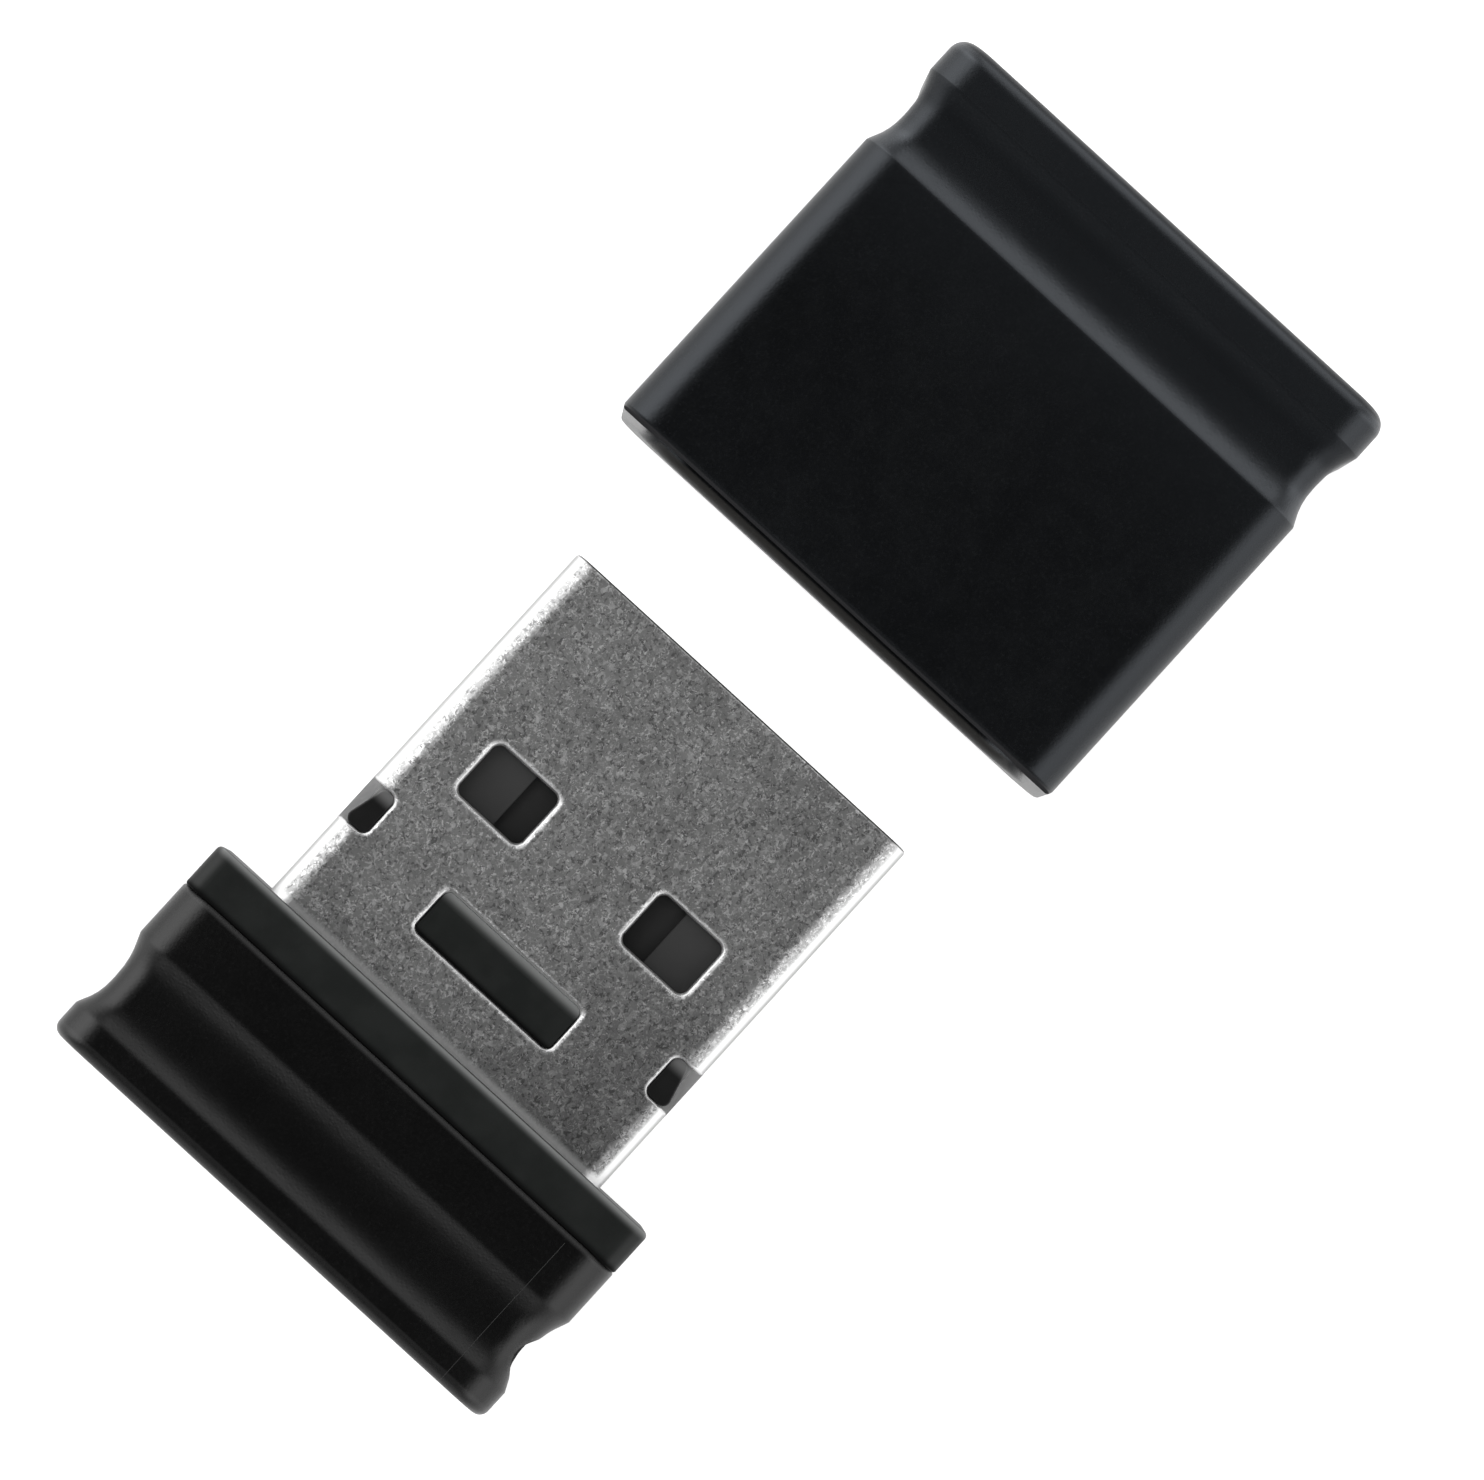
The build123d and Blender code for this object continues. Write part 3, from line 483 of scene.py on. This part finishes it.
def mould_epoxy():
    """Silica-filled black epoxy: pale filler specks and a matt, sandy face."""
    s = Surface("mould_epoxy", Specular_IOR_Level=0.35)
    grain = s.noise(16.0, detail=4.0, rough=0.7)
    specks = s.spread(s.cells(20.0), 0.16, 0.1)
    cloud = s.noise(0.9, detail=3.0)
    tone = s.blend(s.spread(cloud, 0.3, 0.7), (0.011, 0.011, 0.012, 1), grey(0.018))
    tone = s.blend(s.times(specks, 0.5), tone, (0.12, 0.12, 0.115, 1))
    rough = s.spread(grain, 0.3, 0.7, 0.5, 0.68)
    return s.use(Base_Color=tone, Roughness=rough, Normal=s.bump(grain, 0.006, s.soft_edges(0.04)))


def cured_film():
    """Amber die-attach film with trapped bubbles."""
    s = Surface("adhesive_film", Transmission_Weight=0.15)
    bubble = s.spread(s.cells(2.4), 0.12, 0.2)
    grain = s.noise(8.0, detail=4.0)
    tone = s.blend(grain, (0.42, 0.36, 0.22, 1), (0.55, 0.48, 0.32, 1))
    rough = s.spread(grain, 0.3, 0.7, 0.3, 0.5)
    return s.use(Base_Color=tone, Roughness=rough, Normal=s.bump(bubble, 0.003))


def silicon_die():
    """Silicon with blocks of memory array, seen as bricks of slightly different tint."""
    s = Surface("silicon_die", Metallic=0.65)
    blocks = s.add("ShaderNodeTexBrick", offset=0.0)
    s.feed(blocks.inputs["Vector"], s.place)
    blocks.inputs["Scale"].default_value = 0.5
    blocks.inputs["Mortar Size"].default_value = 0.012
    blocks.inputs["Color1"].default_value = (0.16, 0.15, 0.2, 1)
    blocks.inputs["Color2"].default_value = (0.2, 0.22, 0.24, 1)
    blocks.inputs["Mortar"].default_value = (0.4, 0.36, 0.3, 1)
    lines = s.noise(4.0, detail=6.0, rough=0.8, place=s.stretch((12.0, 0.4, 1.0)))
    tone = s.blend(s.times(lines, 0.35), blocks.outputs["Color"], (0.1, 0.13, 0.19, 1))
    rough = s.spread(lines, 0.3, 0.7, 0.12, 0.22)
    return s.use(Base_Color=tone, Roughness=rough, Normal=s.bump(lines, 0.0006))


def chip_body(name, colour, edge_radius_mm):
    """Small ceramic chip: a fired body with speckle and glaze."""
    s = Surface(name)
    grain = s.noise(18.0, detail=4.0)
    specks = s.spread(s.cells(14.0), 0.2, 0.12)
    darker = tuple(0.8 * part for part in colour)
    tone = s.blend(grain, darker + (1,), colour + (1,))
    tone = s.blend(s.times(specks, 0.3), tone, (0.6, 0.58, 0.52, 1))
    rough = s.spread(grain, 0.3, 0.7, 0.35, 0.55)
    normal = s.bump(grain, 0.003, s.soft_edges(edge_radius_mm))
    return s.use(Base_Color=tone, Roughness=rough, Normal=normal)


def crystal_can():
    """Brushed metal can of the clock crystal."""
    s = Surface("crystal_can", Metallic=1.0)
    brushed = s.noise(4.0, detail=5.0, place=s.stretch((0.5, 10.0, 10.0)))
    tone = s.blend(brushed, (0.55, 0.53, 0.47, 1), (0.72, 0.7, 0.64, 1))
    rough = s.spread(brushed, 0.3, 0.7, 0.22, 0.4)
    return s.use(Base_Color=tone, Roughness=rough, Normal=s.bump(brushed, 0.002, s.soft_edges(0.05)))


def reflowed_solder():
    """Reflowed solder with soft lumps."""
    s = Surface("solder", Metallic=1.0)
    lumps = s.noise(7.0, detail=4.0)
    tone = s.blend(lumps, (0.6, 0.61, 0.63, 1), (0.78, 0.79, 0.8, 1))
    rough = s.spread(lumps, 0.3, 0.7, 0.2, 0.42)
    return s.use(Base_Color=tone, Roughness=rough, Normal=s.bump(lumps, 0.006))


cap_plastic = cap_moulding()
housing_plastic = housing_moulding()
collar_plastic = collar_charcoal()
carrier_plastic = carrier_charcoal()
gold = gold_contact()
die = silicon_die()
film = cured_film()
wire = bond_gold()

NODE_MATERIALS = {
    "cap": cap_plastic,
    "rear_housing": housing_plastic,
    "front_collar": collar_plastic,
    "plug_carrier": carrier_plastic,
    "module_retainer": carrier_plastic,
    "plug_shell": plated_shell(),
    "module_substrate": solder_mask(),
    "vbus_contact": gold,
    "data_minus_contact": gold,
    "data_plus_contact": gold,
    "ground_contact": gold,
    "module_encapsulant": mould_epoxy(),
    "module_adhesive": film,
    "lower_die_film": film,
    "upper_die_film": film,
    "controller_die_film": film,
    "lower_flash_die": die,
    "upper_flash_die": die,
    "controller_die": die,
    "flash_bond_wires": wire,
    "controller_bond_wires": wire,
    "ceramic_capacitors": chip_body("capacitor_ceramic", (0.42, 0.3, 0.19), 0.05),
    "chip_resistors": chip_body("resistor_ceramic", (0.03, 0.03, 0.032), 0.03),
    "clock_crystal": crystal_can(),
    "solder_joints": reflowed_solder(),
}

for node_name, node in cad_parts.items():
    node.data.materials.clear()
    node.data.materials.append(NODE_MATERIALS[node_name])

# ------------------------------------------------------------- moulding witness

WITNESS_Y = -6.25 * MM
WITNESS_WIDTH = 0.06 * MM
WITNESS_RISE = 0.012 * MM
WITNESS_SINK = 0.03 * MM
WITNESS_STEPS = 90
WITNESS_START = 0.02
WITNESS_SPAN = 0.93


def witness_line(name, node_name, side):
    """Lay a hair-thin ridge along X on one face of a moulding, where its mould inserts met."""
    low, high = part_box(node_name)
    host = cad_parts[node_name]
    points = []
    for step in range(WITNESS_STEPS + 1):
        along = WITNESS_START + WITNESS_SPAN * step / WITNESS_STEPS
        x = low.x + (high.x - low.x) * along
        start = Vector((x, WITNESS_Y, side * 2 * max(abs(low.z), abs(high.z))))
        hit, place, _, _ = host.ray_cast(start, Vector((0, 0, -side)))
        if hit:
            points.append(place)
    vertices = []
    for place in points:
        for dy, dz in ((-1, -1), (0, 1), (1, -1)):
            rise = WITNESS_RISE if dz > 0 else -WITNESS_SINK
            vertices.append((place.x, place.y + dy * WITNESS_WIDTH / 2, place.z + side * rise))
    faces = []
    for row in range(len(points) - 1):
        first = 3 * row
        for offset, follower in ((0, 1), (1, 2), (2, 0)):
            faces.append((first + offset, first + follower, first + 3 + follower, first + 3 + offset))
    last = 3 * (len(points) - 1)
    faces.append((0, 2, 1))
    faces.append((last, last + 1, last + 2))
    mesh = bpy.data.meshes.new(name)
    mesh.from_pydata(vertices, [], faces)
    if side > 0:
        mesh.flip_normals()
    mesh.update()
    ridge = bpy.data.objects.new(name, mesh)
    bpy.context.scene.collection.objects.link(ridge)
    mesh.materials.append(witness_plastic)
    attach(ridge, "drive")


def witness_tone():
    """Black moulding compound, painted lighter than the housing so that the ridge shows as a painted
    highlight.
    """
    s = Surface("witness_plastic", Specular_IOR_Level=0.5)
    grain = s.noise(12.0, detail=3.0)
    # Painted highlight: the ridge is several times lighter than the housing around it.
    tone = s.blend(grain, grey(0.016), grey(0.028))
    rough = s.spread(grain, 0.3, 0.7, 0.3, 0.4)
    return s.use(Base_Color=tone, Roughness=rough, Normal=s.bump(grain, 0.002))


witness_plastic = witness_tone()
witness_line("housing_witness_top", "rear_housing", 1)
witness_line("housing_witness_bottom", "rear_housing", -1)

# --------------------------------------------------------------- floor and sky

FLOOR_SIZE = 1.6
FLOOR_GAP = 0.02 * MM
FLOOR_CENTRE_X = 11 * MM
FLOOR_GLOW = 0.42
FLOOR_GLOW_SEEN = 0.78
floor_z = cad_low.z - FLOOR_GAP
bpy.ops.mesh.primitive_plane_add(size=FLOOR_SIZE, location=(FLOOR_CENTRE_X, 0, floor_z))
floor = bpy.context.active_object
floor.name = "studio_floor"
floor_surface = Surface("floor_paper", Roughness=0.8, Specular_IOR_Level=0.2)
paper = floor_surface.noise(0.4, detail=3.0)
seen = floor_surface.add("ShaderNodeLightPath").outputs["Is Camera Ray"]
floor_surface.use(
    Base_Color=floor_surface.blend(paper, grey(0.86), grey(0.88)),
    Emission_Color=WHITE,
    Emission_Strength=floor_surface.spread(seen, 0.0, 1.0, FLOOR_GLOW, FLOOR_GLOW_SEEN),
    Normal=floor_surface.bump(paper, 0.01),
)
floor.data.materials.append(floor_surface.material)

world = bpy.data.worlds.new("studio_world")
bpy.context.scene.world = world
world.use_nodes = True
sky = Graph(world.node_tree)
direction = sky.add("ShaderNodeTexCoord")
split = sky.add("ShaderNodeSeparateXYZ")
sky.feed(split.inputs[0], direction.outputs["Generated"])


def sky_ramp(stops):
    """Grey level by height in the sky, from the horizon at 0 to straight up at 1."""
    ramp = sky.add("ShaderNodeValToRGB")
    sky.feed(ramp.inputs["Fac"], split.outputs["Z"])
    ramp.color_ramp.interpolation = "EASE"
    while len(ramp.color_ramp.elements) < len(stops):
        ramp.color_ramp.elements.new(0.5)
    for element, (position, level) in zip(ramp.color_ramp.elements, stops):
        element.position = position
        element.color = grey(level)
    return ramp.outputs["Color"]


# Grey levels of the sky at heights from the horizon to straight up, for light that comes from
# either side, from the corners between, from the plug's end and from the housing's end.
SIDE_SKY = ((0.0, 0.6), (0.3, 0.75), (0.6, 0.9), (0.8, 0.72), (0.89, 0.3), (0.94, 0.08), (1.0, 0.03))
CORNER_SKY = ((0.0, 0.3), (0.5, 0.28), (0.8, 0.1), (0.93, 0.05), (1.0, 0.03))
FRONT_SKY = (
    (0.0, 0.4), (0.3, 0.5), (0.62, 0.66), (0.77, 0.26), (0.84, 0.15), (0.93, 0.06), (1.0, 0.03),
)
REAR_SKY = (
    (0.0, 0.4), (0.3, 0.5), (0.66, 0.56), (0.77, 0.13), (0.84, 0.07), (0.93, 0.05), (1.0, 0.03),
)
SKY_STRENGTH = 1.8

sky_x, sky_y = split.outputs["X"], split.outputs["Y"]
flat_x = sky.times(sky_x, sky_x)
flat_y = sky.times(sky_y, sky_y)
sideness = sky.math("DIVIDE", flat_y, sky.plus(sky.plus(flat_x, flat_y), 0.0001))
left_gain = sky.spread(sky_y, -0.2, 0.3, 1.0, 1.5)
side_light = sky.scale(sky_ramp(SIDE_SKY), left_gain)
end_light = sky.blend(sky.spread(sky_x, -0.1, 0.1), sky_ramp(REAR_SKY), sky_ramp(FRONT_SKY))
sky_tone = sky.blend(sky.spread(sideness, 0.35, 0.85), sky_ramp(CORNER_SKY), side_light)
sky_tone = sky.blend(sky.spread(sideness, 0.22, 0.04), sky_tone, end_light)
background = sky.add("ShaderNodeBackground")
sky.feed(background.inputs["Color"], sky_tone)
background.inputs["Strength"].default_value = SKY_STRENGTH
world_output = sky.add("ShaderNodeOutputWorld")
sky.feed(world_output.inputs["Surface"], background.outputs["Background"])

# ------------------------------------------------------------------------ camera

FRAME_WIDTH = 40.05 * MM
CAMERA_HEIGHT = 250 * MM
PLUG_TOP = 2.25 * MM
AIM = Vector((11.54 * MM, -0.67 * MM, PLUG_TOP))
NADIR = Vector((2.1 * MM, 0.0, PLUG_TOP))
PLUG_ANGLE = math.radians(47.6)
SENSOR_WIDTH = 36

camera_data = bpy.data.cameras.new("camera")
camera = bpy.data.objects.new("camera", camera_data)
bpy.context.scene.collection.objects.link(camera)
camera.location = NADIR + Vector((0, 0, CAMERA_HEIGHT))
forward = (AIM - camera.location).normalized()
up_hint = Vector((math.sin(PLUG_ANGLE), math.cos(PLUG_ANGLE), 0))
right = forward.cross(up_hint).normalized()
up = right.cross(forward)
camera.rotation_euler = Matrix((right, up, -forward)).transposed().to_euler()
camera_data.sensor_width = SENSOR_WIDTH
camera_data.lens = SENSOR_WIDTH * (AIM - camera.location).length / FRAME_WIDTH
camera_data.clip_start = 0.005
camera_data.clip_end = 5.0
bpy.context.scene.camera = camera

bpy.context.scene.view_settings.view_transform = "Standard"
